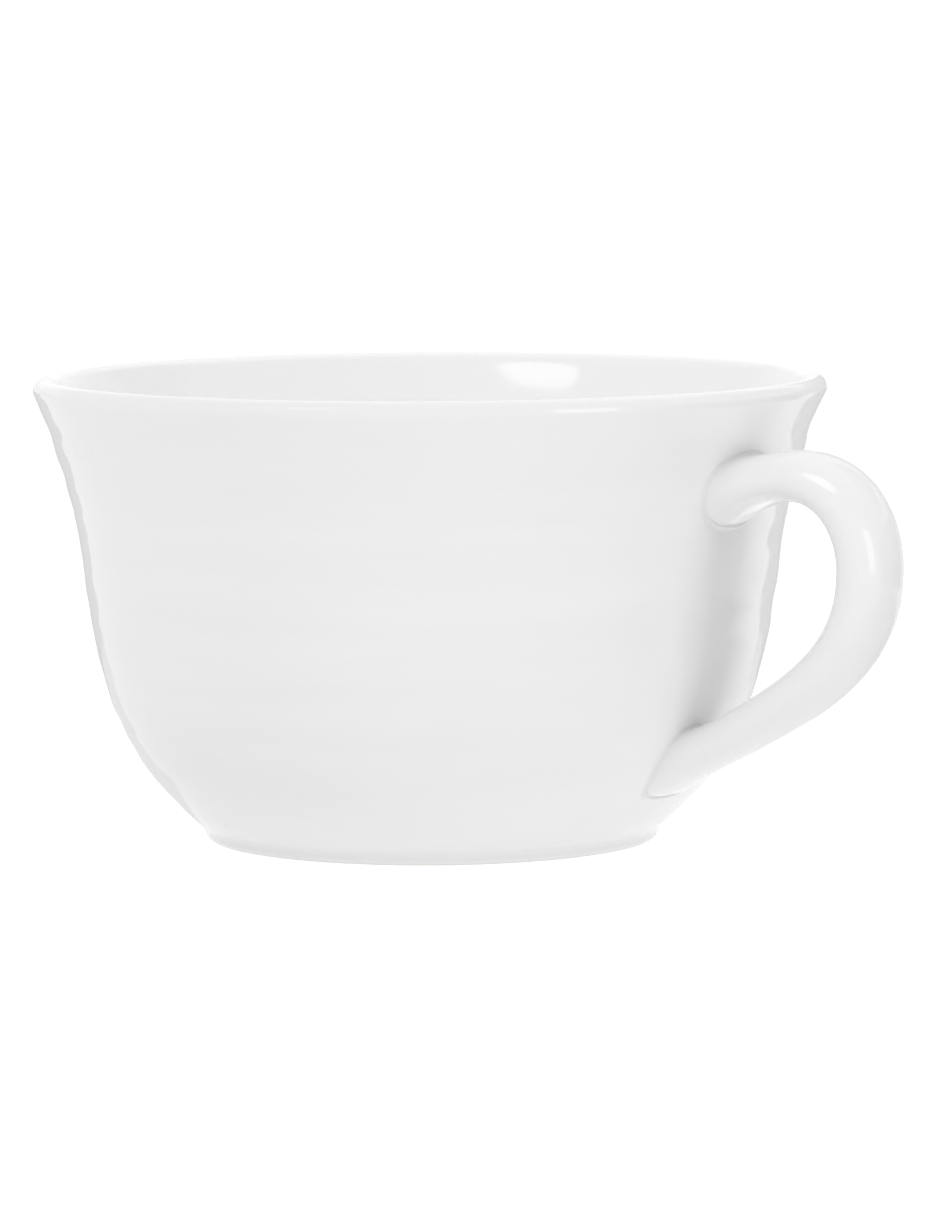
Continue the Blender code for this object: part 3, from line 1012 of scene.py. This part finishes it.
def stand_grey_card():
    """A grey card behind the cup, with a paler mat that narrows toward the camera: they draw the
    grey lines along both sides of the bowl."""
    card = cut_card("grey_card", CARD_WIDTH, CARD_HEIGHT)
    bpy.ops.object.mode_set(mode="EDIT")
    bpy.ops.mesh.select_mode(type="EDGE")
    bpy.ops.mesh.select_all(action="DESELECT")
    shape = bmesh.from_edit_mesh(card.data)
    for edge in shape.edges:
        edge.select = all(vertex.co.y < 0.0 for vertex in edge.verts)
    bmesh.update_edit_mesh(card.data)
    bpy.ops.mesh.extrude_region_move(TRANSFORM_OT_translate={"value": (0.0, 0.0, CARD_DISTANCE)})
    bpy.ops.transform.resize(value=(MAT_TAPER, 1.0, 1.0), center_override=(0.0, 0.0, 0.0))
    bpy.ops.transform.translate(value=(MAT_SHIFT, 0.0, 0.0))
    bpy.ops.mesh.select_mode(type="VERT")
    bpy.ops.object.mode_set(mode="OBJECT")
    card.rotation_euler = (math.pi / 2, 0.0, CAMERA_TURN)
    lift = UP * (CARD_HEIGHT / 2 + CARD_LIFT)
    card.location = AXIS - TOWARDS_CAMERA * CARD_DISTANCE + CAMERA_RIGHT * CARD_SHIFT + lift
    show_in_gloss(card, CARD_LEVEL)
    card.data.materials.append(even_glow("grey_mat", MAT_LEVEL))
    for face in card.data.polygons:
        face.material_index = int(abs(face.normal.y) > 0.5)


def stand_side_cards():
    """A white card on the floor to the right, mirrored under the handle, and grey ones behind,
    beside and under the handle, mirrored along its edge."""
    for name, right, toward, height, tilt, turn, size, level, fades in SIDE_CARDS:
        card = cut_card(name, *size)
        card.rotation_euler = (math.radians(tilt), 0.0, CAMERA_TURN + math.radians(turn))
        card.location = AXIS + CAMERA_RIGHT * right + TOWARDS_CAMERA * toward + UP * height
        show_in_gloss(card, level)
        if fades:
            fade_to_white(card, size, level)


def fill_room():
    """White surroundings to look at, and a fill that is stronger from the left."""
    world = bpy.data.worlds.new("studio")
    bpy.context.scene.world = world
    world.use_nodes = True
    tree = world.node_tree
    background = tree.nodes["Background"]
    background.inputs["Color"].default_value = (1.0, 1.0, 1.0, 1.0)
    way = tree.nodes.new("ShaderNodeTexCoord").outputs["Generated"]
    parts = tree.nodes.new("ShaderNodeSeparateXYZ")
    tree.links.new(way, parts.inputs["Vector"])
    side = add_vector_math(tree, "DOT_PRODUCT", way, CAMERA_RIGHT)
    fill = add_ramp(tree, side, -1.0, 1.0, FILL_LEFT, FILL_RIGHT)
    above = add_ramp(tree, side, -1.0, 1.0, ABOVE_LEFT, ABOVE_RIGHT)
    climb = add_ramp(tree, parts.outputs["Z"], *HIGH_UP, 0.0, 1.0)
    sky = add_mix(tree, climb, fill, above)
    level = add_mix(tree, seen_or_mirrored(tree), sky, 1.0)
    tree.links.new(level, background.inputs["Strength"])


def light_cup():
    """Softboxes that light the cup but aren't mirrored in its gloss, glints that are only mirrored,
    and cards behind the cup that are mirrored in its rim and handle."""
    for values in SOFTBOXES:
        hang_lamp(*values).visible_glossy = False
    for values in GLINTS:
        hang_lamp(*values).visible_diffuse = False
    for values in HUNG_CARDS:
        hang_card(*values)


skin = glaze_skin_group()
bowl_glaze = glaze_material("bowl_glaze", skin, *WALL_TONES)
handle_glaze = glaze_material("handle_glaze", skin, *WALL_TONES)
# Painted shade: the slip fillets in the roots' creases take darker tones
slip_glaze = glaze_material("slip_glaze", skin, *SLIP_SHADED_TONES)

set_camera()
make_floor()
stand_grey_card()
stand_side_cards()
fill_room()
light_cup()

bowl = make_bowl()
dress(bowl, bowl_glaze)
mirror_only_in(bowl, "left_glint")
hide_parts("cup_body")

handle = make_handle()
dress(handle, handle_glaze)
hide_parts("handle")
mirror_only_in(handle, "top_glint")

root_stations = strap_stations(ROOT_RINGS)
upper_fillet = lay_fillet("upper_slip_fillet", root_stations[:ROOT_RINGS])
dress(upper_fillet, slip_glaze)
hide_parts("upper_slip_joint")
lower_fillet = lay_fillet("lower_slip_fillet", root_stations[:ROOT_RINGS:-1])
dress(lower_fillet, slip_glaze)
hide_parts("lower_slip_joint")

view = bpy.context.scene.view_settings
view.view_transform = "Standard"
